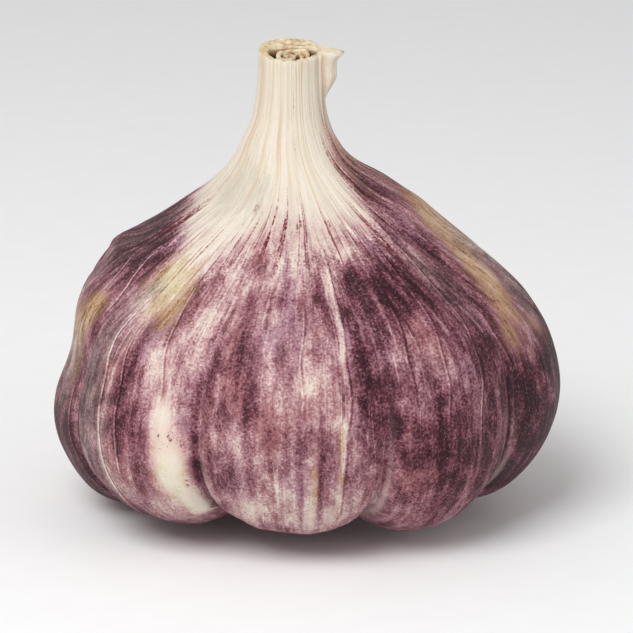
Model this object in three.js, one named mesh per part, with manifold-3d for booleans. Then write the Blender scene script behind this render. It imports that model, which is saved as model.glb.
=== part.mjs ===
// A cured garlic bulb: eight cloves under one dry skin, the stalk cut off above the shoulders and the
// roots trimmed flat. Millimetres, +Z up. Angles round the bulb are in degrees from the front (-Y) and
// grow towards +X. Everything is laid out about the middle of the root plate; at the end it all moves so
// that the origin is under the middle of the bounding box.

import * as THREE from "three";
import { mergeVertices } from "three/addons/utils/BufferGeometryUtils.js";
import Module from "manifold-3d";

const wasm = await Module();
wasm.setup();

// ---- Driving sizes ----

const GAP = 0.3; // clearance between neighbouring pieces

const NECK_TOP = 60.4; // height of the cut across the neck
const NECK_RADIUS = 4.05;
const NECK_WALL = 0.95; // the outer layers of skin, pressed together
const NECK_HOLLOW = 6.5; // how deep the room for the inner leaves is
const NECK_LEAN = { by: -1.4, from: 40, to: 50 }; // along X, growing between these heights
const CUT_TILT = 0.11; // rise of the cut towards the back, per mm

const SHEATH = { radius: 2.75, thickness: 0.55, from: 75, to: 385, below: 0.5 }; // below the cut
const CORE = { radius: 1.45, thickness: 0.5, x: 0.25, y: -0.2, below: 0.9 };

const PLATE = { top: 4.6, radius: 8.6, foot: 5.4 }; // the woody plate that the cloves grow from
const STUBS = { count: 22, ring: 6.2, radius: 0.82, height: 3.2 }; // its roots, cut level with its underside

// Outline of the skin over an average clove, from the root plate round the foot, belly and shoulder and
// up the neck: radius, height.
const OUTLINE = [
  [PLATE.radius + 2 * GAP, PLATE.top + GAP],
  [13.6, 3.1],
  [18.6, 2.0],
  [23.6, 2.6],
  [28.0, 5.0],
  [31.6, 10.1],
  [33.0, 16.1],
  [32.0, 22.6],
  [29.1, 28.8],
  [23.4, 34.0],
  [17.0, 39.0],
  [11.3, 43.0],
  [7.6, 46.1],
  [6.0, 48.7],
  [4.9, 51.5],
  [4.35, 54.7],
  [4.1, 57.5],
  [NECK_RADIUS, NECK_TOP],
];
const OUTLINE_ROWS = 46; // facets along it
const FACETS = 12; // facets across each clove

// The cloves in order: the angle of the seam where each starts, and how far its middle stands out from
// the outline in each of the bands below.
const CLOVES = [
  { seam: -160, out: [0.0, -2.3, 0.2, 1.3] },
  { seam: -105, out: [1.7, 0.2, -2.2, 0.3] },
  { seam: -65, out: [-0.3, 0.4, -0.2, -0.6] },
  { seam: -25, out: [-0.7, -0.8, 0.0, 0.0] },
  { seam: 20, out: [0.2, 0.0, 0.0, 0.2] },
  { seam: 57, out: [-0.1, 0.5, 0.5, -0.6] },
  { seam: 105, out: [0.0, -1.0, -0.6, -0.4] },
  { seam: 150, out: [0.0, -1.6, -1.0, -0.4] },
];

// Foot, belly, cheek and shoulder: where each lies along the outline, as a share of its length, how far
// it reaches, and how deep the seams between cloves are there.
const BANDS = [
  { at: 0.15, reach: 0.11, depth: 3.4 },
  { at: 0.31, reach: 0.11, depth: 1.6 },
  { at: 0.43, reach: 0.09, depth: 1.0 },
  { at: 0.55, reach: 0.09, depth: 0.6 },
];
const SEAM_SHARPNESS = 0.93; // 1 would make each clove's section a half circle
const GATHER = { degrees: 22, from: 0.45, to: 0.85 }; // seams crowd to the front, up the shoulder

// A corner of skin pinched out of the neck on its right, widest at the cut.
const CORNER = { angle: 90, halfWidth: 15, length: 2.5, from: 53.0 };

// ---- Small helpers ----

const { clamp, degToRad, euclideanModulo, lerp, smoothstep } = THREE.MathUtils;
const hump = (x, middle, reach) => Math.exp(-(((x - middle) / reach) ** 2));

/** A solid of revolution about Z. Points are [radius, height]; the first column faces the front. */
function lathe(points, columns) {
  const profile = points.map(([radius, height]) => new THREE.Vector2(radius, height));
  return new THREE.LatheGeometry(profile, columns).rotateX(Math.PI / 2);
}

/** Sideways shift of the neck at a height. */
const lean = (height) => NECK_LEAN.by * smoothstep(height, NECK_LEAN.from, NECK_LEAN.to);

/** A geometry as a solid that can be joined to another. */
function solid(geometry) {
  geometry.deleteAttribute("normal").deleteAttribute("uv");
  const { attributes, index } = mergeVertices(geometry);
  const vertProperties = new Float32Array(attributes.position.array);
  const triVerts = new Uint32Array(index.array);
  return new wasm.Manifold(new wasm.Mesh({ numProp: 3, vertProperties, triVerts }));
}

/** The joined solid as a geometry again. */
function surface(joined) {
  const { vertProperties, triVerts } = joined.getMesh();
  const geometry = new THREE.BufferGeometry();
  geometry.setAttribute("position", new THREE.BufferAttribute(vertProperties, 3));
  geometry.setIndex(new THREE.BufferAttribute(triVerts, 1));
  geometry.computeVertexNormals();
  return geometry;
}

const group = new THREE.Group();
group.name = "garlic_bulb";

function add(name, geometry, colour, roughness) {
  const material = new THREE.MeshStandardMaterial({ color: colour, roughness, metalness: 0 });
  const mesh = new THREE.Mesh(geometry, material);
  mesh.name = name;
  group.add(mesh);
}

// ---- The bulb: cloves, neck and the skin round them ----

/** How far the skin stands out from the outline. `across` runs from -1 to 1 between a clove's seams. */
function standOut(clove, across, along) {
  const beside = CLOVES[euclideanModulo(clove + Math.sign(across), CLOVES.length)];
  const share = Math.abs(across) ** 3 / 2;
  const dip = 1 - Math.sqrt(1 - (SEAM_SHARPNESS * across) ** 2);
  const fullDip = 1 - Math.sqrt(1 - SEAM_SHARPNESS ** 2);
  return BANDS.reduce((sum, { at, reach, depth }, band) => {
    const crest = lerp(CLOVES[clove].out[band], beside.out[band], share);
    return sum + (crest - (depth * dip) / fullDip) * hump(along, at, reach);
  }, 0);
}

function bulbGeometry() {
  const outline = new THREE.SplineCurve(OUTLINE.map(([r, z]) => new THREE.Vector2(r, z)));
  const skin = outline.getSpacedPoints(OUTLINE_ROWS).map(({ x, y }) => [x, y]);
  const overPlate = [[0, PLATE.top + GAP]];
  const hollow = NECK_RADIUS - NECK_WALL;
  const inNeck = [
    [hollow, NECK_TOP],
    [hollow, NECK_TOP - NECK_HOLLOW],
    [0, NECK_TOP - NECK_HOLLOW],
  ];
  const points = [...overPlate, ...skin, ...inNeck];
  const columns = FACETS * CLOVES.length;
  const geometry = lathe(points, columns);
  const { position, normal, uv } = geometry.attributes;

  for (let i = 0; i < position.count; i++) {
    const column = Math.round(uv.getX(i) * columns) % columns;
    const row = Math.round(uv.getY(i) * (points.length - 1)) - overPlate.length;
    const along = clamp(row / OUTLINE_ROWS, 0, 1);
    const onSkin = row >= 0 && row <= OUTLINE_ROWS;

    const clove = Math.floor(column / FACETS);
    const across = (2 * (column % FACETS)) / FACETS - 1;
    const { seam } = CLOVES[clove];
    const width = euclideanModulo(CLOVES[(clove + 1) % CLOVES.length].seam - seam, 360);
    const spread = seam + (width * (across + 1)) / 2;
    const gather = GATHER.degrees * smoothstep(along, GATHER.from, GATHER.to);
    const angle = spread - gather * Math.sin(degToRad(spread));

    let radius = Math.hypot(position.getX(i), position.getY(i));
    let height = position.getZ(i);
    if (onSkin) {
      const out = standOut(clove, across, along);
      radius += out * Math.hypot(normal.getX(i), normal.getY(i));
      height += out * normal.getZ(i);
      const beside = euclideanModulo(angle - CORNER.angle + 180, 360) - 180;
      const grown = smoothstep(height, CORNER.from, NECK_TOP);
      radius += CORNER.length * grown * hump(beside, 0, CORNER.halfWidth);
    }
    const x = radius * Math.sin(degToRad(angle));
    const y = -radius * Math.cos(degToRad(angle));
    const tilt = CUT_TILT * y * smoothstep(height, NECK_LEAN.to, NECK_TOP - NECK_HOLLOW);
    position.setXYZ(i, x + lean(height), y, height + tilt);
  }
  geometry.computeVertexNormals();
  return geometry;
}

// ---- The leaves rolled up inside the neck ----

/** A strip of leaf bent round the neck's middle, cut off level with the neck. */
function sheathGeometry() {
  const { radius, thickness, from, to, below } = SHEATH;
  const shape = new THREE.Shape();
  shape.absarc(0, 0, radius, degToRad(from), degToRad(to), false);
  shape.absarc(0, 0, radius - thickness, degToRad(to), degToRad(from), true);
  shape.closePath();
  const floor = NECK_TOP - NECK_HOLLOW + 2 * GAP;
  const depth = NECK_TOP - below - floor;
  const geometry = new THREE.ExtrudeGeometry(shape, { depth, bevelEnabled: false, curveSegments: 20 });
  return geometry.translate(NECK_LEAN.by, 0, floor);
}

/** The innermost leaf, a small tube. */
function coreGeometry() {
  const { radius, thickness, x, y, below } = CORE;
  const floor = NECK_TOP - NECK_HOLLOW + 2 * GAP;
  const top = NECK_TOP - below;
  const profile = [
    [0, floor],
    [radius, floor],
    [radius, top],
    [radius - thickness, top],
    [radius - thickness, top - 3],
    [0, top - 3],
  ];
  return lathe(profile, 28).translate(NECK_LEAN.by + x, y, 0);
}

// ---- The root plate with its cut roots ----

function rootGeometry() {
  const { top, radius, foot } = PLATE;
  const disc = lathe(
    [
      [0, 0],
      [foot, 0],
      [radius - 1.2, 1.6],
      [radius, 3.1],
      [radius, top],
      [0, top],
    ],
    72,
  );
  let plate = solid(disc);
  for (let i = 0; i < STUBS.count; i++) {
    const angle = (2 * Math.PI * i) / STUBS.count;
    const stub = new THREE.CylinderGeometry(STUBS.radius, STUBS.radius, STUBS.height, 12).rotateX(Math.PI / 2);
    stub.translate(STUBS.ring * Math.sin(angle), -STUBS.ring * Math.cos(angle), STUBS.height / 2);
    plate = plate.add(solid(stub));
  }
  return surface(plate);
}

add("bulb", bulbGeometry(), 0x9b6a74, 0.62);
add("neck_inner_sheath", sheathGeometry(), 0xd9c8a4, 0.7);
add("neck_core", coreGeometry(), 0xc9b184, 0.75);
add("root_plate", rootGeometry(), 0xa58a63, 0.9);

// ---- Origin under the middle of the bounding box ----

const middle = new THREE.Box3().setFromObject(group).getCenter(new THREE.Vector3());
for (const { geometry } of group.children) geometry.translate(-middle.x, -middle.y, 0);

export default group;
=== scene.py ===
"""A cured garlic bulb with a purple-striped skin: its cloves, its cut neck and its trimmed roots."""

import math
import random

import bmesh
import bpy
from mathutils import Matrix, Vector, noise


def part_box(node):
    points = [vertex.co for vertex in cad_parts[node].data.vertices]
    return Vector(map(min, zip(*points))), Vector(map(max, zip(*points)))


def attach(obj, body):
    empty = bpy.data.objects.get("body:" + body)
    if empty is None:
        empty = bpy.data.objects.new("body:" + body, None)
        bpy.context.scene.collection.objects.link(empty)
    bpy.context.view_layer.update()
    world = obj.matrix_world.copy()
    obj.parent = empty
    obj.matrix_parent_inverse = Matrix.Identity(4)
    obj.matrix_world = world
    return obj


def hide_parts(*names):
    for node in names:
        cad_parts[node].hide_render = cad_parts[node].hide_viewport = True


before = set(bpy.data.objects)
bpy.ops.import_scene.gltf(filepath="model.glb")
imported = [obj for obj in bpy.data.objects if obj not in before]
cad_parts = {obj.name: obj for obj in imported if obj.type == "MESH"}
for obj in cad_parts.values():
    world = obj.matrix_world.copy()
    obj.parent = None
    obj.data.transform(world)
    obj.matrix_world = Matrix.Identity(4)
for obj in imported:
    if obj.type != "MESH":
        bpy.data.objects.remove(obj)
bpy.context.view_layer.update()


# ---- The table it stands on, the light and the camera ----
# A pale matt surface, one big soft lamp high on the left, a weak one on the right, and white light all
# round. The camera looks a little down on the bulb from the front.

MM = 0.001
VIEW_ELEVATION = math.radians(15.5)
VIEW_DISTANCE = 450 * MM
VIEW_WIDTH = 82.2 * MM  # seen at that distance
TABLE_SIZE = 3
stem = sum(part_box("root_plate"), Vector()) / 2  # the bulb's upright axis
look_at = Vector((stem.x + 1.97 * MM, stem.y - 0.88 * MM, 25.4 * MM))

camera_data = bpy.data.cameras.new("camera")
camera_data.lens = camera_data.sensor_width * VIEW_DISTANCE / VIEW_WIDTH
camera_data.clip_start = 0.01
camera = bpy.data.objects.new("camera", camera_data)
back = Vector((0, -math.cos(VIEW_ELEVATION), math.sin(VIEW_ELEVATION)))
camera.location = look_at + back * VIEW_DISTANCE
camera.rotation_euler = (math.pi / 2 - VIEW_ELEVATION, 0, 0)
bpy.context.scene.collection.objects.link(camera)
bpy.context.scene.camera = camera
bpy.context.scene.view_settings.view_transform = "Standard"


def lamp(name, size, power, place):
    data = bpy.data.lights.new(name, "AREA")
    data.size = size
    data.energy = power
    made = bpy.data.objects.new(name, data)
    made.location = place
    made.rotation_euler = (look_at - Vector(place)).to_track_quat("-Z", "Y").to_euler()
    bpy.context.scene.collection.objects.link(made)


lamp("key_light", 0.45, 4.6, (-0.26, -0.46, 0.62))
lamp("right_light", 0.35, 0.5, (0.6, -0.35, 0.25))

world = bpy.data.worlds.new("white_surroundings")
world.use_nodes = True
world.node_tree.nodes["Background"].inputs["Color"].default_value = (1, 1, 1, 1)
world.node_tree.nodes["Background"].inputs["Strength"].default_value = 0.5
bpy.context.scene.world = world


class Value:
    """What a material works out at each point: a number, a colour or a vector."""

    def __init__(self, tree, socket=None):
        self.tree = tree
        self.socket = socket

    def node(self, kind, settings=None, inputs=None, output=0):
        made = self.tree.nodes.new("ShaderNode" + kind)
        for name, setting in (settings or {}).items():
            if name == "stops":
                stops = made.color_ramp.elements
                while len(stops) < len(setting):
                    stops.new(1)
                for stop, (position, colour) in zip(stops, setting):
                    stop.position = position
                    stop.color = (*colour, 1)
            else:
                setattr(made, name, setting)
        for name, value in (inputs or {}).items():
            if isinstance(value, Value):
                self.tree.links.new(value.socket, made.inputs[name])
            else:
                made.inputs[name].default_value = value
        return Value(self.tree, made.outputs[output])

    def maths(self, operation, *values):
        return self.node("Math", {"operation": operation}, dict(enumerate(values)))

    def __add__(self, other):
        return self.maths("ADD", self, other)

    def __sub__(self, other):
        return self.maths("SUBTRACT", self, other)

    def __mul__(self, other):
        return self.maths("MULTIPLY", self, other)

    def __rsub__(self, other):
        return self.maths("SUBTRACT", other, self)

    __radd__ = __add__
    __rmul__ = __mul__

    def magnitude(self):
        return self.maths("ABSOLUTE", self)

    def or_more(self, other):
        return self.maths("MAXIMUM", self, other)

    def between(self, low, high):
        """0 at low, 1 at high, eased; low may be the larger."""
        if low < high:
            inputs = {"Value": self, "From Min": low, "From Max": high}
            return self.node("MapRange", {"interpolation_type": "SMOOTHSTEP"}, inputs)
        return 1 - self.between(high, low)

    def place(self):
        """Where a point is on the object, in millimetres."""
        return self.node("TexCoord", output="Object").stretched(1000, 1000, 1000)

    def painted(self, name, output="Fac"):
        """What was stored on the mesh under a name."""
        return self.node("Attribute", {"attribute_name": name}, output=output)

    def parts(self):
        """A vector's x, y and z."""
        return [self.node("SeparateXYZ", inputs={"Vector": self}, output=axis) for axis in "XYZ"]

    def stretched(self, x, y, z):
        """A vector with each part multiplied."""
        return self.node("VectorMath", {"operation": "MULTIPLY"}, {0: self, 1: (x, y, z)})

    def noise(self, scale, detail=2.0, roughness=0.5, shift=0.0):
        """Noise from 0 to 1 where this vector points."""
        moved = self.node("VectorMath", {"operation": "ADD"}, {0: self, 1: (shift, shift, shift)})
        inputs = {"Vector": moved, "Scale": scale, "Detail": detail, "Roughness": roughness}
        return self.node("TexNoise", {"noise_dimensions": "3D"}, inputs)

    def ramp(self, *stops):
        """The colour for this number, from stops that each have a number and a colour."""
        return self.node("ValToRGB", {"stops": stops}, {0: self})

    def towards(self, colour, share, blend="MIX"):
        """This colour mixed with another."""
        other = colour if isinstance(colour, Value) else (*colour, 1)
        settings = {"data_type": "RGBA", "blend_type": blend, "clamp_factor": True}
        return self.node("Mix", settings, {0: share, 6: self, 7: other}, output=2)

    def bump(self, strength, depth):
        """The surface's direction where this number is a height; depth in millimetres."""
        return self.node("Bump", inputs={"Strength": strength, "Distance": depth * MM, "Height": self})


def new_material(name):
    """A material, its starting value and its shader."""
    made = bpy.data.materials.new(name)
    made.use_nodes = True
    return made, Value(made.node_tree), made.node_tree.nodes["Principled BSDF"]


def feed(shader, **values):
    """Links values to the shader's sockets; an underscore in a name stands for a space."""
    for name, value in values.items():
        value.tree.links.new(value.socket, shader.inputs[name.replace("_", " ")])


def srgb(red, green, blue):
    """A colour given in 0 to 255 as a painter mixes it, in linear light."""
    return tuple(((c / 255 + 0.055) / 1.055) ** 2.4 if c > 10 else c / 3295 for c in (red, green, blue))


def finished(worked, name):
    """An object made of a worked mesh."""
    mesh = bpy.data.meshes.new(name)
    worked.to_mesh(mesh)
    worked.free()
    made = bpy.data.objects.new(name, mesh)
    bpy.context.scene.collection.objects.link(made)
    return made


table_top = bmesh.new()
bmesh.ops.create_grid(table_top, x_segments=1, y_segments=1, size=TABLE_SIZE)
floor = finished(table_top, "floor")
floor.location.z = -0.02 * MM  # just clear of the flat root ends
floor_material, paint, shader = new_material("pale_table")
grain = paint.node("TexCoord", output="Object").noise(180, 3)
feed(shader, Base_Color=grain.ramp((0, (0.92, 0.92, 0.92)), (1, (0.96, 0.96, 0.96))))
shader.inputs["Roughness"].default_value = 0.9
floor.data.materials.append(floor_material)


# ---- The skin over the cloves and the neck ----
# Several dry leaf bases wrapped round eight cloves, as thin as paper, drawn together into the neck and
# pressed flat there. The purple lies in the outer leaves in streaks and specks between the pale veins,
# and gives way to cream up the shoulders. It grew in one piece with the cloves and was cut at the neck.

NECK_TOP = 60.5  # these sizes are in millimetres
NECK_RADIUS = 4.05
NECK_HOLLOW = 6.2
LEAN = {"by": -1.4, "start": 40, "end": 50}  # the neck's sideways lean and the heights it grows between
CUT_TILT = 0.19  # rise of the cut towards the back, per millimetre

# The skin over an average clove, from the root plate round the foot, belly and shoulder and up the neck:
# radius and height.
OUTLINE = [
    (9.2, 4.9), (13.6, 3.1), (18.6, 2.0), (23.6, 2.6), (28.0, 5.0), (31.6, 10.1),
    (33.0, 16.1), (32.0, 22.6), (29.1, 28.8), (23.4, 34.0), (17.0, 39.0), (11.3, 43.0),
    (7.6, 46.1), (6.0, 48.7), (4.9, 51.5), (4.35, 54.7), (4.1, 57.5), (NECK_RADIUS, NECK_TOP - 0.3),
]
ROWS = 176  # facets along it
FACETS = 60  # across each clove
BELLY_RADIUS = 33  # with the outline's length, the scale that the skin's pattern is laid out in
OUTLINE_LENGTH = 95

# Where each clove's first seam is, and how far its foot, belly, cheek and shoulder stand out.
CLOVES = [
    (-160, (0.0, -2.3, 0.2, 1.3)),
    (-105, (1.7, 0.2, -2.2, 0.3)),
    (-65, (-0.3, 0.4, -0.2, -0.6)),
    (-24, (-0.7, -0.8, 0.0, 0.0)),
    (20, (0.2, 0.0, 0.0, 0.2)),
    (57, (-0.1, 0.5, 0.5, -0.6)),
    (105, (0.0, -1.0, -0.6, -0.4)),
    (150, (0.0, -1.6, -1.0, -0.4)),
]
COLUMNS = FACETS * len(CLOVES)
# Where foot, belly, cheek and shoulder are along the outline, their reach, and the seams' depth there.
BANDS = [(0.15, 0.11, 3.4), (0.31, 0.11, 1.6), (0.43, 0.09, 1.0), (0.55, 0.09, 0.6)]
SEAM_SHARPNESS = 0.95  # 1 would make each clove's section a half circle
GATHER = {"by": math.radians(22), "start": 0.45, "end": 0.85}  # seams crowd to the front, up the shoulder
FOOT_CREASE = (0.17, 0.12)  # where the seams are creased most, along the outline, and their reach

NECK = (0.68, 0.90)  # where the shoulder turns into the neck, along the outline

# A corner of skin pinched out of the neck, longer again at its tip: where it is, how far each part stands
# out, and the heights that part grows between.
CORNER = {"angle": 88, "half_width": 14, "length": 1.9, "grows": (53.6, 57.4)}
CORNER_TIP = {"length": 1.1, "grows": (58.8, NECK_TOP)}

# Places where the skin stands up from that shape or lies lower: angle, place along the outline, half
# width in degrees, half height along the outline, and how far in millimetres.
LIFTS = [
    (-100, 0.612, 14, 0.028, 1.5), (-108, 0.70, 15, 0.03, -0.35), (-90, 0.84, 50, 0.05, 0.45),
    (90, 0.735, 22, 0.035, 0.9), (116, 0.785, 22, 0.035, 0.50), (88, 0.60, 26, 0.07, 0.75),
    (86, 0.47, 22, 0.06, 0.45), (-88, 0.20, 16, 0.05, 0.35), (-35, 0.19, 6, 0.03, -0.3),
]

# The cream of the neck gives way to purple here: angle, where along the outline the cream ends, and
# where the purple is full.
CREAM_EDGE = [
    (-180, 0.78, 0.62), (-140, 0.80, 0.66), (-105, 0.765, 0.70), (-88, 0.75, 0.69), (-76, 0.72, 0.67),
    (-65, 0.70, 0.64), (-60, 0.70, 0.60), (-50, 0.69, 0.58), (-42, 0.70, 0.55), (-34, 0.73, 0.57),
    (-22, 0.765, 0.60), (0, 0.77, 0.59), (14, 0.76, 0.60), (24, 0.76, 0.64), (34, 0.77, 0.66),
    (48, 0.76, 0.64), (58, 0.81, 0.70), (68, 0.87, 0.78), (90, 0.90, 0.83), (120, 0.88, 0.80),
    (150, 0.82, 0.68), (180, 0.78, 0.62),
]

# Patches of purple (or of none, where the last number is negative): angle, place along the outline,
# half width in degrees, half height along the outline, and how strong. The strong ones low on the right,
# from 64 to 92 degrees, are partly painted shade, where that side falls dark.
PURPLE = [
    (-90, 0.64, 16, 0.055, 0.10), (-75, 0.65, 8, 0.04, 0.13), (-80, 0.60, 8, 0.03, 0.10),
    (-112, 0.62, 14, 0.08, 0.20), (-73, 0.27, 6, 0.10, 0.22), (-53, 0.36, 1.6, 0.14, 0.14),
    (-44, 0.42, 2.5, 0.10, 0.14), (-46, 0.22, 6, 0.04, 0.16), (-24.5, 0.32, 1.6, 0.09, 0.42),
    (-20, 0.67, 4, 0.015, 0.28), (-14, 0.50, 3, 0.05, 0.22), (-19, 0.32, 4, 0.04, 0.14),
    (-11, 0.42, 2, 0.04, 0.12), (4, 0.60, 5, 0.02, 0.10), (30, 0.595, 11, 0.035, 0.38),
    (21, 0.635, 5, 0.025, 0.30), (37, 0.64, 8, 0.035, 0.24), (48, 0.60, 8, 0.05, 0.14),
    (21, 0.44, 4, 0.14, 0.30), (15.5, 0.50, 2, 0.10, 0.28), (33, 0.40, 2, 0.05, 0.12),
    (36, 0.38, 10, 0.06, 0.18), (52, 0.49, 5, 0.05, 0.24), (63, 0.62, 8, 0.07, 0.14),
    (58, 0.42, 3, 0.05, 0.25), (71, 0.37, 13, 0.075, 0.55), (64, 0.26, 12, 0.07, 0.30),
    (92, 0.40, 10, 0.12, 0.35), (82, 0.38, 8, 0.10, 0.12), (42, 0.42, 9, 0.09, 0.16),
    (37, 0.29, 11, 0.06, 0.20), (-37, 0.32, 3, 0.10, 0.12), (-47, 0.34, 5, 0.10, -0.10),
    (84, 0.36, 12, 0.08, 0.18), (-61, 0.24, 8, 0.05, 0.28), (-76, 0.28, 10, 0.09, 0.28),
    (-88, 0.46, 9, 0.06, 0.10), (85, 0.79, 14, 0.03, 0.12), (42, 0.51, 6, 0.05, 0.12),
    (-44, 0.44, 4, 0.10, 0.10), (-17, 0.63, 7, 0.022, -0.20), (-29, 0.57, 4, 0.05, -0.24),
    (-35, 0.47, 5, 0.06, -0.32), (-26, 0.52, 2, 0.03, -0.16), (-32, 0.40, 2.6, 0.04, -0.42),
    (-30, 0.33, 3.5, 0.05, -0.9), (-27, 0.25, 3.0, 0.045, -0.8), (-37, 0.25, 4, 0.04, -0.22),
    (-54, 0.61, 9, 0.065, -0.36), (-45, 0.57, 5, 0.03, -0.20), (101, 0.60, 12, 0.05, -0.42),
    (-3, 0.55, 6, 0.035, -0.18), (2, 0.46, 5, 0.06, -0.26), (-6, 0.47, 3, 0.04, -0.12),
    (-4, 0.64, 5, 0.02, -0.14), (10, 0.62, 3, 0.03, -0.16), (-14, 0.38, 4, 0.03, -0.20),
    (-12, 0.27, 6, 0.035, -0.38), (4, 0.25, 8, 0.06, -0.42), (4.6, 0.28, 0.8, 0.10, 0.30),
    (0.2, 0.27, 0.6, 0.09, 0.25), (-5, 0.31, 3, 0.05, -0.16), (23, 0.68, 5, 0.016, -0.36),
    (31, 0.505, 4, 0.018, -0.24), (35, 0.48, 2.5, 0.03, -0.14), (43, 0.42, 2, 0.05, -0.10),
    (-82, 0.44, 8, 0.06, -0.20),
]
TAN = [
    (-58, 0.62, 6, 0.045, 0.80), (-48, 0.60, 7, 0.055, 1.0), (-40, 0.56, 4, 0.04, 0.60),
    (-93, 0.50, 9, 0.05, 0.60), (-72, 0.53, 5, 0.035, 1.00), (-80, 0.49, 8, 0.04, 0.70),
    (-73, 0.44, 4, 0.05, 0.60), (-88, 0.42, 9, 0.06, 0.50), (104, 0.71, 16, 0.05, 1.1),
    (88, 0.665, 9, 0.05, 1.1), (77, 0.60, 7, 0.045, 1.1), (72, 0.565, 5, 0.03, 0.8),
    (100, 0.62, 14, 0.05, 0.5), (68, 0.53, 5, 0.03, 0.75), (94, 0.92, 2.2, 0.07, 1.2),
    (108, 0.95, 9, 0.06, 0.35), (62, 0.49, 4, 0.03, 0.65), (76, 0.49, 6, 0.03, 0.55),
    (3.3, 0.33, 0.9, 0.10, 0.60), (9, 0.36, 0.9, 0.10, 0.55), (-31, 0.30, 5, 0.10, 0.45),
]
# Grey patches over the purple, painted sheen on the left side and painted shade below the neck: angle, place
# along the outline, half width in degrees, half height along the outline, and how strong.
GREY_SHEEN_AND_SHADE = [
    (-58, 0.42, 8, 0.14, 1.0), (-80, 0.42, 9, 0.09, 0.80), (55, 0.62, 9, 0.09, 0.70),
    (99, 0.60, 15, 0.07, 1.15), (94, 0.50, 10, 0.05, 0.80), (-100, 0.70, 10, 0.04, 0.45),
    (80, 0.52, 7, 0.04, 0.60), (-84, 0.63, 16, 0.07, 0.65), (-98, 0.5, 10, 0.2, 0.5),
    (-47, 0.34, 5, 0.10, 0.35), (-73, 0.3, 5, 0.1, 0.35), (-18, 0.36, 4, 0.05, 0.35),
    (-72, 0.80, 22, 0.08, 0.75), (-42, 0.79, 16, 0.06, 0.58), (-56, 0.59, 6, 0.03, 0.45),
]
# Dark red spots, most of them where the purple begins: angle, place, half width, half height, how strong.
SPOTS = [
    (-31, 0.38, 4, 0.03, 0.85), (-27, 0.31, 1.6, 0.08, 0.75), (-34, 0.31, 1.6, 0.06, 0.7),
    (-37, 0.765, 3.2, 0.015, 1.15), (-57, 0.70, 3, 0.014, 0.9), (-30, 0.735, 1.2, 0.040, 0.8),
    (-25, 0.70, 2.8, 0.014, 0.8), (-1, 0.738, 3.4, 0.018, 1.2), (-3, 0.70, 1.4, 0.022, 0.7),
    (21, 0.733, 3.2, 0.017, 1.2), (31, 0.75, 1.8, 0.014, 0.8), (-21, 0.675, 4.5, 0.020, 0.9),
    (-13, 0.68, 1.6, 0.03, 0.7), (-48, 0.69, 2.4, 0.014, 0.6), (42, 0.72, 2.6, 0.014, 0.8),
    (28, 0.70, 2.2, 0.014, 0.7), (-92, 0.76, 4, 0.014, 0.6), (-12, 0.72, 1.0, 0.03, 0.6),
    (6, 0.70, 1.0, 0.03, 0.7), (12, 0.79, 1.2, 0.012, 0.7), (-18, 0.755, 5, 0.008, 0.6),
    (-42, 0.80, 1.8, 0.010, 0.7), (36, 0.68, 1.4, 0.03, 0.6), (9, 0.87, 2.4, 0.035, 0.95),
    (9.5, 0.945, 2.2, 0.020, 0.95), (62, 0.83, 2.6, 0.018, 0.7), (93, 0.86, 3.2, 0.030, 1.15),
    (95, 0.93, 3.0, 0.030, 1.1), (78, 0.84, 2.4, 0.030, 1.1), (80, 0.70, 2, 0.05, 0.8),
]
# Single veins: angle and place along the outline at the lower end, then at the upper end, half width in
# degrees, and how pale.
VEINS = [
    (-74, 0.56, -84, 0.68, 0.3, 0.9), (-66, 0.55, -73, 0.66, 0.35, 1.0), (-47.5, 0.26, -54, 0.58, 0.35, 0.9),
    (-43.5, 0.32, -46.5, 0.52, 0.25, 0.7), (9, 0.26, 12, 0.68, 0.7, 0.7), (43, 0.36, 52, 0.68, 0.3, 0.5),
    (-25.5, 0.12, -26, 0.26, 0.3, 0.8), (58, 0.36, 58, 0.56, 0.25, 0.35), (-34, 0.45, -40, 0.66, 0.25, 0.5),
    (0, 0.44, 1, 0.60, 0.25, 0.4), (26, 0.44, 30, 0.66, 0.3, 0.3), (34, 0.40, 41, 0.70, 0.25, 0.4),
    (120, 0.3, 125, 0.7, 0.3, 0.7), (142, 0.2, 144, 0.6, 0.4, 0.7), (171, 0.3, 170, 0.7, 0.5, 0.7),
    (-128, 0.25, -124, 0.66, 0.3, 0.8), (-151, 0.3, -148, 0.72, 0.4, 0.7), (-69, 0.2, -71, 0.42, 0.3, 0.5),
]


def ease(x, low, high):
    t = min(max((x - low) / (high - low), 0), 1)
    return t * t * (3 - 2 * t)


def hump(x, middle, reach):
    return math.exp(-(((x - middle) / reach) ** 2))


def mix(a, b, share):
    return a + (b - a) * share


def turned(angle):
    """An angle in degrees, from -180 to 180."""
    return (angle + 180) % 360 - 180


def smooth_path(points, count):
    """Evenly spaced points on a smooth line through some points."""
    pieces = 40  # between two neighbouring points
    ends = [points[0], *points, points[-1]]
    fine = []
    for a, b, c, d in zip(ends, ends[1:], ends[2:], ends[3:]):
        for step in range(pieces):
            t = step / pieces
            fine.append([
                0.5 * (
                    2 * q + (r - p) * t
                    + (2 * p - 5 * q + 4 * r - s) * t * t
                    + (3 * q - p - 3 * r + s) * t**3
                )
                for p, q, r, s in zip(a, b, c, d)
            ])
    fine.append(list(points[-1]))
    runs = [0]
    for a, b in zip(fine, fine[1:]):
        runs.append(runs[-1] + math.dist(a, b))
    path, k = [], 0
    for i in range(count):
        run = runs[-1] * i / (count - 1)
        while k < len(runs) - 2 and runs[k + 1] < run:
            k += 1
        share = (run - runs[k]) / (runs[k + 1] - runs[k])
        path.append(tuple(mix(p, q, share) for p, q in zip(fine[k], fine[k + 1])))
    return path


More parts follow.
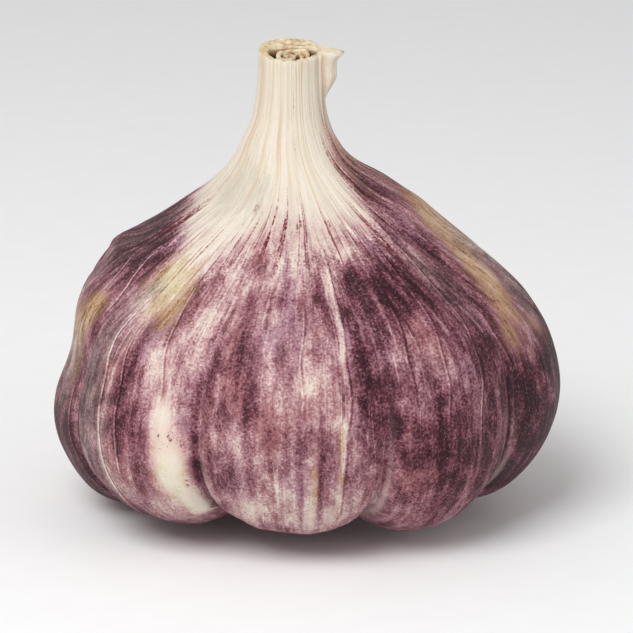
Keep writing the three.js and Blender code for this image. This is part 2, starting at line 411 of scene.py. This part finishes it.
def spin_closed(worked, line, steps):
    """Spins a line of vertices round the upright axis into a closed shape."""
    for a, b in zip(line, line[1:]):
        worked.edges.new((a, b))
    bmesh.ops.spin(
        worked, geom=worked.verts[:] + worked.edges[:], cent=(0, 0, 0), axis=(0, 0, 1),
        angle=2 * math.pi, steps=steps, use_merge=True,
    )
    bmesh.ops.remove_doubles(worked, verts=worked.verts, dist=1e-4)
    bmesh.ops.recalc_face_normals(worked, faces=worked.faces)


def stand_out(clove, across, along):
    """How far the skin stands out from the outline; across runs from -1 to 1 between a clove's seams."""
    beside = CLOVES[(clove + (1 if across > 0 else -1)) % len(CLOVES)][1]
    own = CLOVES[clove][1]
    share = abs(across) ** 3 / 2
    dip = (1 - math.sqrt(1 - (SEAM_SHARPNESS * across) ** 2)) / (1 - math.sqrt(1 - SEAM_SHARPNESS**2))
    out = 0
    for band, (at, reach, depth) in enumerate(BANDS):
        out += (mix(own[band], beside[band], share) - depth * dip) * hump(along, at, reach)
    return out


def near(patches, angle):
    """The patches that reach an angle, each with its share there."""
    found = []
    for middle, at, half_width, half_height, amount in patches:
        share = hump(turned(angle - middle), 0, half_width)
        if share > 0.003:
            found.append((at, half_height, amount * share))
    return found


def added(patches, along):
    """What some patches come to at a place along the outline."""
    close = [(at, reach, amount) for at, reach, amount in patches if abs(along - at) < 2.6 * reach]
    return sum(amount * hump(along, at, reach) for at, reach, amount in close)


# More patches and spots of the same kinds, scattered over the back.
random.seed(7)
for patches, count, low, high in ((PURPLE, 90, -0.5, 0.5), (TAN, 9, 0.4, 0.8), (GREY_SHEEN_AND_SHADE, 9, 0.3, 0.6)):
    for _ in range(count):
        angle = turned(random.uniform(112, 250))
        width, length = random.uniform(2, 9), random.uniform(0.02, 0.08)
        patches.append((angle, random.uniform(0.16, 0.72), width, length, random.uniform(low, high)))
for _ in range(22):
    angle = turned(random.uniform(108, 255))
    SPOTS.append((angle, random.uniform(0.68, 0.78), random.uniform(1.2, 4), random.uniform(0.01, 0.03), 0.8))

skin_path = smooth_path(OUTLINE, ROWS + 1)
rim_path = [  # over the cut edge and down inside the neck
    (NECK_RADIUS - 0.1, NECK_TOP - 0.06), (NECK_RADIUS - 0.3, NECK_TOP), (NECK_RADIUS - 0.5, NECK_TOP - 0.04),
    (3.48, NECK_TOP - 0.02), (3.42, NECK_TOP - 0.05), (3.36, NECK_TOP - 0.03), (3.3, NECK_TOP - 0.1),
    (3.1, NECK_TOP - 0.35), (3.05, NECK_TOP - 1.1), (3.05, NECK_TOP - 2.4), (3.05, NECK_TOP - 4),
    (2.8, NECK_TOP - NECK_HOLLOW), (0, NECK_TOP - NECK_HOLLOW),
]
over_roots = (0, OUTLINE[0][1])

skin = bmesh.new()
row_of = skin.verts.layers.float.new("row")
line = []
for row, (radius, height) in enumerate([over_roots, *skin_path, *rim_path]):
    vert = skin.verts.new((0, -radius, height))
    vert[row_of] = row
    line.append(vert)
spin_closed(skin, line, steps=COLUMNS)

leaning_out = []  # the outline's normal at each row
for row in range(ROWS + 1):
    before, after = skin_path[max(row - 1, 0)], skin_path[min(row + 1, ROWS)]
    slope = Vector((after[0] - before[0], after[1] - before[1])).normalized()
    leaning_out.append((slope.y, -slope.x))

columns = []
for column in range(COLUMNS):
    clove = column // FACETS
    across = 2 * (column % FACETS) / FACETS - 1
    seam = CLOVES[clove][0]
    width = (CLOVES[(clove + 1) % len(CLOVES)][0] - seam) % 360
    spread = turned(seam + width * (across + 1) / 2)
    a, b = next(pair for pair in zip(CREAM_EDGE, CREAM_EDGE[1:]) if pair[0][0] <= spread <= pair[1][0])
    columns.append({
        "clove": clove,
        "across": across,
        "spread": spread,
        "from_seam": (across + 1) * width / 2 if across < 0 else (across - 1) * width / 2,
        "way": Vector((math.sin(math.radians(spread)), -math.cos(math.radians(spread)), 0)),
        "cream_edge": [mix(a[k], b[k], ease(spread, a[0], b[0])) for k in (1, 2)],
        "lifts": near(LIFTS, spread),
        "purple": near(PURPLE, spread),
        "tan": near(TAN, spread),
        "grey": near(GREY_SHEEN_AND_SHADE, spread),
        "spots": near(SPOTS, spread),
    })

strand = skin.verts.layers.float_vector.new("strand")  # millimetres round the belly and along the outline
shades = ("purple", "tan", "grey", "spots", "fringe", "crease", "groove")
layer_of = {name: skin.verts.layers.float.new(name) for name in shades}
for vert in skin.verts:
    row = round(vert[row_of]) - 1
    along = min(max(row / ROWS, 0), 1)
    turn = math.atan2(vert.co.x, -vert.co.y) / (2 * math.pi) % 1
    here = columns[round(turn * COLUMNS) % COLUMNS]
    spread, way, from_seam = here["spread"], here["way"], here["from_seam"]
    angle = math.radians(spread) - GATHER["by"] * ease(along, GATHER["start"], GATHER["end"]) * way.x
    radius = math.hypot(vert.co.x, vert.co.y)
    height = vert.co.z

    # Ribs and pleats of the neck.
    neck = ease(along, *NECK)
    pleat = rib = 0
    if neck > 0:
        rib = noise.noise(way * 7 + Vector((0, 0, along * 1.5)))
        rib += 0.5 * noise.noise(way * 16 + Vector((3, 0, along * 2.5)))
        pleat = max(0, 1 - abs(noise.noise(way * 10 + Vector((9, 0, along * 2)))) / 0.10)
        rib -= 0.35 * pleat
    ray = Vector((BELLY_RADIUS * way.x, BELLY_RADIUS * way.y, OUTLINE_LENGTH * along))
    pinch = hump(math.degrees(angle), CORNER["angle"], CORNER["half_width"])
    if 0 <= row <= ROWS:
        out = stand_out(here["clove"], here["across"], along) + added(here["lifts"], along) + 0.09 * neck * rib
        if neck < 1:
            # Loose skin: broad waves, then ever finer folds along the leaf.
            loose = 0.45 * noise.noise(ray / 13) * ease(along, 0.05, 0.2)
            loose += 0.18 * noise.noise(Vector((ray.x / 3.2, ray.y / 3.2, ray.z / 22)))
            loose += 0.08 * noise.noise(Vector((ray.x / 1.1, ray.y / 1.1, ray.z / 16)))
            out += (1 - neck) * loose
        lap = max(0, from_seam)  # one clove's skin laps a little over the next
        crease = hump(from_seam, 0, 1.3) * hump(along, *FOOT_CREASE)
        out += (-0.8 * crease + 0.5 * math.exp(-lap / 3) * (lap > 0)) * hump(along, *FOOT_CREASE)
        radius += out * leaning_out[row][0]
        height += out * leaning_out[row][1]
        corner = CORNER["length"] * ease(height, *CORNER["grows"])
        corner += CORNER_TIP["length"] * ease(height, *CORNER_TIP["grows"])
        radius += pinch * corner
    elif row > ROWS:
        inwards = (row - ROWS) / len(rim_path)
        radius += 0.09 * rib * max(0, 1 - 3 * inwards)
        radius += pinch * (CORNER["length"] + CORNER_TIP["length"]) * max(0, 1 - 2.2 * inwards) ** 1.5
    ragged = noise.noise(way * 2.2 + Vector((0, 0, 4))) + 0.2 * noise.noise(way * 9)
    height += 0.35 * ragged * ease(height, 57.5, NECK_TOP)

    x = radius * math.sin(angle)
    y = -radius * math.cos(angle)
    if row > ROWS + 3:  # the hollow lies nearer the front, behind it the layers are pressed together
        to_hollow = ease(row, ROWS + 3, ROWS + 7)
        uneven = noise.noise(Vector((x * 0.5, row * 0.9, 5))) * to_hollow
        height += 0.5 * uneven * (1 - ease(row, ROWS + 8, ROWS + 10))
        x += 0.25 * to_hollow
        y = y * (1 - 0.55 * to_hollow * (y > 0)) - 0.4 * to_hollow
    lean = LEAN["by"] * ease(height, LEAN["start"], LEAN["end"])
    tilt = CUT_TILT * y * ease(height, LEAN["end"], NECK_TOP - NECK_HOLLOW)
    vert.co = Vector((x + lean, y, height + tilt)) * MM + Vector((stem.x, stem.y, 0))

    # What the material needs to know at this point. Both sides are a little more purple than the front; on the
    # right this is partly painted shade, where that side falls dark.
    vert[strand] = ray
    cream_ends, purple_full = here["cream_edge"]
    base = 0.57 + 0.07 * ease(spread, 40, 60) * ease(130 - spread, -20, 0) + 0.06 * ease(-spread, 40, 60)
    purple = base * (1 - ease(along, purple_full, cream_ends))
    purple += added(here["purple"], along) * (1 - ease(along, cream_ends - 0.03, cream_ends + 0.02))
    vert[layer_of["purple"]] = min(purple, 0.95)
    for name in ("tan", "grey", "spots"):
        vert[layer_of[name]] = added(here[name], along)
    vert[layer_of["fringe"]] = hump(along, cream_ends - 0.04, 0.055)
    # Dark in the crease beside each seam low on the bulb, painted shade, and pale on the edge that laps over,
    # a painted highlight; two dark crack lines on the right.
    seam_line = hump(from_seam, -0.8, 1.1) - 0.8 * hump(from_seam, 1.0, 0.8)
    crack = hump(spread, 85, 1.5) * hump(along, 0.49, 0.006) + hump(spread, 92, 1.2) * hump(along, 0.60, 0.005)
    vert[layer_of["crease"]] = seam_line * hump(along, 0.18, 0.13) + crack
    beside_corner = 1.6 * hump(spread, 91, 2) * ease(along, 0.80, 0.87)
    vert[layer_of["groove"]] = neck * max(pleat * 0.8, ease(-rib, 0.1, 0.5), beside_corner)

for face in skin.faces:
    face.smooth = True
    if min(vert[row_of] for vert in face.verts) > ROWS + 1:
        face.material_index = 1
bulb_skin = finished(skin, "bulb_skin")

skin_material, paint, shader = new_material("striped_papery_skin")
strands = paint.painted("strand", "Vector")
place = paint.place()
pigment, fringe, stained, crease = (paint.painted(name) for name in ("purple", "fringe", "spots", "crease"))

# The purple: streaks along the leaf, clouds, sandy grains and flecks.
broad = strands.stretched(1, 1, 0.09).noise(0.30, 2)
middling = strands.stretched(1, 1, 0.08).noise(0.95, 2, shift=7)
fine = strands.stretched(1, 1, 0.05).noise(2.6, 2, shift=19)
blotches = strands.stretched(1, 1, 0.6).noise(0.24, 3, 0.6, shift=31)
clouds = strands.stretched(1, 1, 0.6).noise(0.62, 3, 0.6, shift=37)
grains = place.noise(3.3, 3, 0.7)
flecks = place.noise(3.2, 2, 0.6, shift=5)
coloured = pigment.between(0.02, 0.35)
mottled = pigment + ((broad - 0.5) * 0.30 + (middling.between(0.36, 0.64) - 0.5) * 0.15) * coloured
mottled = mottled + ((fine - 0.5) * 0.20 + (blotches - 0.5) * 0.8 + (clouds - 0.5) * 0.8) * coloured
mottled = mottled + ((grains - 0.5) * 1.15 + flecks.between(0.58, 0.70) * 0.16) * coloured

# Rays of spots and broken lines that run up from the purple into the cream.
off_ray = (strands.stretched(1, 1, 0.035).noise(0.36, 1, shift=53) - 0.5).magnitude()
broken = strands.stretched(1, 1, 0.3).noise(0.8, 2, 0.6, shift=43)
dotted = place.noise(2.6, 2, 0.6, shift=3)
ray_line = off_ray.between(0.022, 0.006) * dotted.between(0.42, 0.55) * broken.between(0.34, 0.46)
ray_glow = off_ray.between(0.085, 0.0) * broken.between(0.30, 0.58)
ray_spots = off_ray.between(0.055, 0.01) * dotted.between(0.50, 0.58)
ray_spots = ray_spots * strands.stretched(1, 1, 0.4).noise(0.22, 1, shift=23).between(0.45, 0.6)
mottled = mottled + (ray_glow * 0.30 + ray_line * 0.55) * fringe
mottled = mottled + ((clouds - 0.42) * 0.5 + (grains - 0.5) * 0.5 + 0.08) * fringe

# Veins: a pale line with a painted shadow beside it, the shade a raised vein casts.
x, y, z = strands.parts()
turn = x.maths("ARCTAN2", x, y * -1) * (180 / math.pi)
wander = (strands.stretched(0, 0, 0.11).noise(1, 1, shift=91) - 0.5) * 3
pale_vein = vein_shadow = None
for lower, bottom, upper, top, half_width, paleness in VEINS:
    low, high = OUTLINE_LENGTH * bottom, OUTLINE_LENGTH * top
    off = turn - (wander + z.between(low, high) * (upper - lower) + lower)
    extent = z.between(low - 4, low + 3) * z.between(high + 2, high - 5)
    pale = off.magnitude().between(half_width * 1.6, half_width * 0.4) * extent * paleness
    # A painted shadow just beside each vein.
    beside_shadow = (off - (half_width + 0.25)).magnitude().between(0.45, 0.1) * extent
    pale_vein = pale_vein.or_more(pale) if pale_vein else pale
    vein_shadow = vein_shadow.or_more(beside_shadow) if vein_shadow else beside_shadow
threads = (strands.stretched(1, 1, 0.04).noise(0.5, 1, shift=61) - 0.5).magnitude().between(0.008, 0.001)
threads = threads * strands.stretched(1, 1, 0.12).noise(0.25, 1, shift=67).between(0.42, 0.56)
mottled = mottled - (pale_vein * (0.1 + fine * 0.5) + threads * 0.2) * coloured + vein_shadow * 0.16 * coloured

colour = mottled.ramp(
    (0.00, srgb(228, 219, 203)), (0.12, srgb(218, 203, 191)), (0.28, srgb(203, 174, 170)),
    (0.44, srgb(175, 133, 138)), (0.60, srgb(142, 94, 103)), (0.76, srgb(108, 59, 70)),
    (0.90, srgb(75, 34, 44)), (1.00, srgb(48, 22, 30)),
)
warm = strands.stretched(1, 1, 0.5).noise(0.16, 2, shift=101)
midtone = mottled.between(0.2, 0.4) * mottled.between(0.8, 0.6)
colour = colour.towards(srgb(150, 88, 84), warm.between(0.54, 0.68) * midtone * 0.35)
colour = colour.towards(srgb(164, 128, 150), warm.between(0.46, 0.34) * midtone * 0.30)
colour = colour.towards(srgb(232, 214, 212), flecks.between(0.45, 0.32) * coloured * 0.09)
splashes = (place.noise(1.9, 3, 0.75, shift=13) - 0.5) * 1.6
splashes = splashes + (strands.stretched(1, 1, 0.15).noise(1.3, 2, shift=17) - 0.5) * 0.9
stains = (stained * (splashes + 0.42)).between(0.38, 0.52)
red_marks = (ray_spots * fringe * 1.3 + ray_line * fringe + stains).between(0.05, 0.9)
colour = colour.towards(srgb(196, 140, 136), stained.between(0.1, 0.9) * 0.3)
colour = colour.towards(srgb(112, 42, 46), red_marks * pigment.between(0.85, 0.6) * 0.85)

# Tan patches, where the outer leaf has dried through, and grey patches over the purple, which on the left side
# are painted sheen and, below the neck, painted shade.
tan_depth = mottled * 0.65 + (fine - 0.5) * 0.9 + (clouds - 0.5) * 0.5 + (grains - 0.5) * 0.5 + 0.06
tan_tone = tan_depth.ramp(
    (0.0, srgb(216, 204, 174)), (0.28, srgb(206, 182, 148)),
    (0.5, srgb(194, 152, 112)), (0.8, srgb(122, 84, 66)),
)
tan_tone = tan_tone.towards((0.93, 0.97, 0.86), x.between(2, -12), "MULTIPLY")  # more olive on the left
tanned = paint.painted("tan") - 0.5 + (fine - 0.5) * 0.7 + (clouds - 0.5) * 1.5 + (grains - 0.5) * 1.6
colour = colour.towards(tan_tone, tanned.between(-0.3, 0.4) * 0.8)
# The grey of the painted sheen and painted shade.
grey_sheen_and_shade_tone = mottled.ramp(
    (0.0, srgb(192, 184, 170)), (0.3, srgb(170, 157, 149)), (0.55, srgb(136, 116, 113)),
    (0.8, srgb(92, 68, 68)), (1.0, srgb(60, 42, 44)),
)
grey_sheen_and_shade_share = paint.painted("grey") - 0.5 + (fine - 0.5) * 0.9 + (clouds - 0.5) * 1.2 + (grains - 0.5) * 1.0
colour = colour.towards(grey_sheen_and_shade_tone, grey_sheen_and_shade_share.between(-0.4, 0.45) * 0.8)

# Tan and pinkish lines up the neck and its grooves; at the creases between the cloves, painted shade on one
# side of the seam and a painted highlight on the edge that laps over.
in_neck = z.between(70, 82)
neck_lines = strands.stretched(1, 1, 0.012).noise(0.34, 3, 0.65, shift=121)
colour = colour.towards(srgb(208, 188, 146), neck_lines.between(0.53, 0.62) * in_neck * 0.4)
colour = colour.towards(srgb(214, 178, 156), neck_lines.between(0.45, 0.37) * in_neck * 0.4)
groove_tone = strands.stretched(1, 1, 0.2).noise(0.3, 2, shift=7).ramp(
    (0.35, srgb(206, 178, 138)), (0.65, srgb(202, 158, 132)),
)
colour = colour.towards(groove_tone, paint.painted("groove") * 0.55)
# Painted shade in the creases where the value is positive, a painted highlight on the lapping edges where it
# is negative.
colour = colour.towards(srgb(58, 16, 30), crease * 0.8)
colour = colour.towards(srgb(226, 208, 200), crease * -0.8)
sandy = 1 + (grains - 0.5) * (coloured * 0.3 + 0.12) + (fine - 0.5) * 0.1
colour = colour.node("VectorMath", {"operation": "SCALE"}, {0: colour, "Scale": sandy})

fibres = strands.stretched(1, 1, 0.02).noise(3.4, 3, 0.6, shift=71)
crinkle = place.noise(0.9, 4, 0.6, shift=81)
folds = strands.stretched(1, 1, 0.25).noise(0.7, 3, 0.6, shift=111)
relief = fibres * 0.5 + crinkle * 0.4 + grains * 0.3 + folds * 1.2 + pale_vein * 0.4 + threads * 0.3
roughness = 0.52 + (crinkle - 0.5) * 0.3 + (grains - 0.5) * 0.3
feed(shader, Base_Color=colour, Roughness=roughness, Normal=relief.bump(0.5, 0.25))
shader.inputs["Specular IOR Level"].default_value = 0.14
bulb_skin.data.materials.append(skin_material)


def neck_level(place):
    """Height in millimetres with the tilt of the cut taken out."""
    x, y, z = place.parts()
    return z - (y - stem.y / MM) * CUT_TILT


# The cut across the neck and the wall inside it: pressed leaf ends, tan and fibrous.
cut_material, paint, shader = new_material("cut_leaf_ends")
place = paint.place()
layers = place.stretched(1, 1, 0.3).noise(1.6, 3, 0.6)
stain = place.noise(0.55, 2, shift=17)
colour = layers.ramp(
    (0.30, srgb(172, 144, 108)), (0.45, srgb(212, 192, 158)),
    (0.6, srgb(228, 214, 186)), (0.8, srgb(236, 226, 204)),
)
colour = colour.towards(srgb(178, 128, 84), stain.between(0.5, 0.68) * 0.4)
rightwards = place.parts()[0] - stem.x / MM
level = neck_level(place)
colour = colour.towards(srgb(226, 214, 190), rightwards.between(1.6, 3.2) * 0.7)
colour = colour.towards(srgb(196, 180, 116), rightwards.between(-2.6, -4.4) * layers.between(0.4, 0.6) * 0.6)
# Below the cut the wall turns brown, partly its own colour and partly painted shade, then dark: painted shade
# deep in the hollow.
colour = colour.towards(srgb(142, 98, 54), level.between(NECK_TOP - 0.1, NECK_TOP - 0.6) * 0.8)
colour = colour.towards(srgb(44, 24, 15), level.between(NECK_TOP - 0.4, NECK_TOP - 1.3) * 0.95)
feed(shader, Base_Color=colour, Normal=layers.bump(0.6, 0.2))
shader.inputs["Roughness"].default_value = 0.8
bulb_skin.data.materials.append(cut_material)

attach(bulb_skin, "root")
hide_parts("bulb")


# ---- The leaf rolled up inside the neck ----
# A dry leaf stalk as thin as card, curled round behind the skin and rolled in at the front, cut with the
# neck. Cream and tan with brown edges, and painted dark lower down as shade inside the neck.

ROLL_DEPTH = 5.6  # below the cut
ROLL_STEPS = 12
CRUMPLE = 0.06


def leaf_roll(name, way_round, thickness, below_cut):
    """A strip of leaf standing on edge along a line seen from above, in millimetres round the neck."""
    low, high = NECK_TOP - ROLL_DEPTH, NECK_TOP - below_cut
    strip = bmesh.new()
    verts = [strip.verts.new((x, y, low)) for x, y in smooth_path(way_round, 90)]
    edges = [strip.edges.new((a, b)) for a, b in zip(verts, verts[1:])]
    start = Vector((*way_round[0], low))
    for _ in range(ROLL_STEPS):
        grown = bmesh.ops.extrude_edge_only(strip, edges=edges)["geom"]
        raised = [part for part in grown if isinstance(part, bmesh.types.BMVert)]
        bmesh.ops.translate(strip, verts=raised, vec=(0, 0, (high - low) / ROLL_STEPS))
        edges = [part for part in grown if isinstance(part, bmesh.types.BMEdge)]
        rim = max(vert.co.z for edge in edges for vert in edge.verts)
        edges = [edge for edge in edges if all(abs(vert.co.z - rim) < 1e-4 for vert in edge.verts)]
    for vert in strip.verts:
        rise = (vert.co.z - low) / (high - low)
        spot = Vector((vert.co.x, vert.co.y, vert.co.z * 0.35))
        sway = noise.noise_vector(spot * 0.6) * CRUMPLE
        vert.co.x += sway.x
        vert.co.y += sway.y
        vert.co.z += rise**4 * 0.3 * noise.noise(spot * 0.7 + Vector((7, 0, 0))) + CUT_TILT * vert.co.y
    bmesh.ops.recalc_face_normals(strip, faces=strip.faces)
    strip.normal_update()
    first = min(strip.faces, key=lambda face: (face.calc_center_median() - start).length)
    if first.normal.y < 0:  # the thickness always goes to the same side
        bmesh.ops.reverse_faces(strip, faces=strip.faces)
    bmesh.ops.solidify(strip, geom=strip.faces[:], thickness=thickness)
    bmesh.ops.recalc_face_normals(strip, faces=strip.faces)
    for vert in strip.verts:
        vert.co = vert.co * MM + Vector((stem.x + LEAN["by"] * MM, stem.y, 0))
    for face in strip.faces:
        face.smooth = True
    return finished(strip, name)


sheath = leaf_roll(
    "rolled_leaf",
    [
        (2.4, 0.1), (1.6, 0.45), (0.7, 0.6), (-0.2, 0.5), (-0.9, 0.0), (-1.5, -0.8), (-1.75, -1.7),
        (-1.3, -2.55), (-0.4, -2.9), (0.45, -2.6), (0.7, -1.8), (0.2, -1.1), (-0.5, -1.0), (-0.85, -1.6),
        (-0.4, -2.05),
    ],
    thickness=0.56, below_cut=0.1,
)
leaf_material, paint, shader = new_material("dry_inner_leaf")
place = paint.place()
grain = place.stretched(1, 1, 0.12).noise(2.2, 3, 0.6)
stain = place.noise(0.8, 2, shift=4)
colour = grain.ramp((0.3, srgb(186, 150, 106)), (0.48, srgb(224, 206, 170)), (0.7, srgb(238, 226, 200)))
colour = colour.towards(srgb(150, 92, 56), stain.between(0.52, 0.68) * 0.5)
# Dark lower down, below the cut: painted shade inside the neck.
colour = colour.towards(srgb(70, 40, 24), neck_level(place).between(NECK_TOP - 0.2, NECK_TOP - 0.9) * 0.9)
feed(shader, Base_Color=colour, Normal=grain.bump(0.7, 0.2))
shader.inputs["Roughness"].default_value = 0.7
sheath.data.materials.append(leaf_material)

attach(sheath, "root")
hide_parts("neck_inner_sheath")


# ---- The innermost leaf, a small crumpled roll ----
# The last leaf to grow, dried to a roll no wider than a match, off to the right of the neck's middle.

core = leaf_roll(
    "innermost_leaf",
    [
        (0.5, -0.45), (0.95, -0.2), (1.6, -0.2), (2.2, -0.5), (2.5, -1.2), (2.15, -1.95), (1.45, -1.9),
        (1.2, -1.3), (1.5, -0.85), (1.9, -1.2),
    ],
    thickness=0.45, below_cut=0.25,
)
core_material, paint, shader = new_material("dry_core_leaf")
place = paint.place()
grain = place.stretched(1, 1, 0.15).noise(2.8, 3, 0.6, shift=9)
colour = grain.ramp((0.3, srgb(160, 118, 78)), (0.5, srgb(212, 188, 146)), (0.7, srgb(230, 212, 178)))
# Dark lower down, below the cut: painted shade inside the neck.
colour = colour.towards(srgb(70, 40, 24), neck_level(place).between(NECK_TOP - 0.3, NECK_TOP - 1.0) * 0.9)
feed(shader, Base_Color=colour, Normal=grain.bump(0.7, 0.2))
shader.inputs["Roughness"].default_value = 0.75
core.data.materials.append(core_material)

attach(core, "root")
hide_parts("neck_core")


# ---- The root plate with its trimmed roots ----
# A corky disc that the cloves grow from. Its roots were cut with a knife, so a pad of short stubs is
# left, level underneath. Tan to grey-brown, with paler cut ends.

STUBS = 190
STUB_SIDES = 7
GOLDEN_ANGLE = math.radians(137.5)  # spaces the stubs evenly over the plate

plate_low, plate_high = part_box("root_plate")
plate_top = plate_high.z / MM
plate_radius = (plate_high.x - plate_low.x) / 2 / MM
plate_outline = [
    (0, 1.7), (2.5, 1.5), (5.0, 1.5), (7.0, 2.0), (plate_radius - 0.3, 2.8), (plate_radius, 3.6),
    (plate_radius - 0.2, plate_top - 0.1), (plate_radius - 1, plate_top), (0, plate_top),
]
roots = bmesh.new()
cut_end = roots.verts.layers.float.new("cut_end")
line = [roots.verts.new((0, -radius, height)) for radius, height in smooth_path(plate_outline, 40)]
spin_closed(roots, line, steps=120)
for vert in roots.verts:
    rough = noise.noise(vert.co * 0.8) + 0.5 * noise.noise(vert.co * 2.6)
    out = Vector((vert.co.x, vert.co.y, 0))
    if out.length > 0.1 and vert.co.z < plate_top - 0.4:
        vert.co += out.normalized() * 0.3 * rough * ease(out.length, 3, 8)
        vert.co.z += 0.35 * rough

random.seed(19)
for i in range(STUBS):
    reach = (plate_radius - 0.7) * math.sqrt((i + 0.5) / STUBS)
    angle = i * GOLDEN_ANGLE + random.uniform(-0.15, 0.15)
    thick = random.uniform(0.26, 0.5)
    base = Vector((reach * math.cos(angle), reach * math.sin(angle), 2.6 + 0.9 * ease(reach, 4, 8)))
    lean_out = random.uniform(0.0, 0.22) + 0.15 * ease(reach, 3, 8)
    end = Vector((base.x, base.y, 0)) * (1 + lean_out * 0.5)
    end += Vector((random.uniform(-0.3, 0.3), random.uniform(-0.3, 0.3), 0))
    end.z = 0 if i % 3 else random.uniform(0.1, 1.0)
    middle = base.lerp(end, 0.55) + Vector((random.uniform(-0.2, 0.2), random.uniform(-0.2, 0.2), 0))
    rings = []
    for centre, radius in ((base, thick * 1.15), (middle, thick), (end, thick * random.uniform(0.85, 1.1))):
        ring = bmesh.ops.create_circle(roots, cap_ends=False, radius=radius, segments=STUB_SIDES)["verts"]
        bmesh.ops.translate(roots, verts=ring, vec=centre)
        rings.append(ring)
    for lower, upper in zip(rings, rings[1:]):
        for k in range(STUB_SIDES):
            beside = (k + 1) % STUB_SIDES
            roots.faces.new((lower[k], lower[beside], upper[beside], upper[k]))
    roots.faces.new(rings[-1])
    for vert in rings[-1]:
        vert[cut_end] = 1
bmesh.ops.recalc_face_normals(roots, faces=roots.faces)
for vert in roots.verts:
    vert.co.z = max(vert.co.z, 0)
    vert.co = vert.co * MM + Vector((stem.x, stem.y, 0))
for face in roots.faces:
    face.smooth = len(face.verts) == 4
root_plate = finished(roots, "root_plate_with_roots")

root_material, paint, shader = new_material("corky_roots")
place = paint.place()
grain = place.noise(1.3, 4, 0.65)
soil = place.noise(0.35, 3, shift=5)
colour = grain.ramp(
    (0.3, srgb(104, 78, 54)), (0.48, srgb(160, 128, 90)),
    (0.62, srgb(196, 168, 128)), (0.8, srgb(216, 196, 160)),
)
colour = colour.towards(srgb(118, 100, 84), soil.between(0.5, 0.65) * 0.6)
colour = colour.towards(srgb(220, 202, 166), paint.painted("cut_end").between(0.6, 0.95) * 0.6)
feed(shader, Base_Color=colour, Normal=grain.bump(0.9, 0.4))
shader.inputs["Roughness"].default_value = 0.9
root_plate.data.materials.append(root_material)

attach(root_plate, "root")
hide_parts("root_plate")
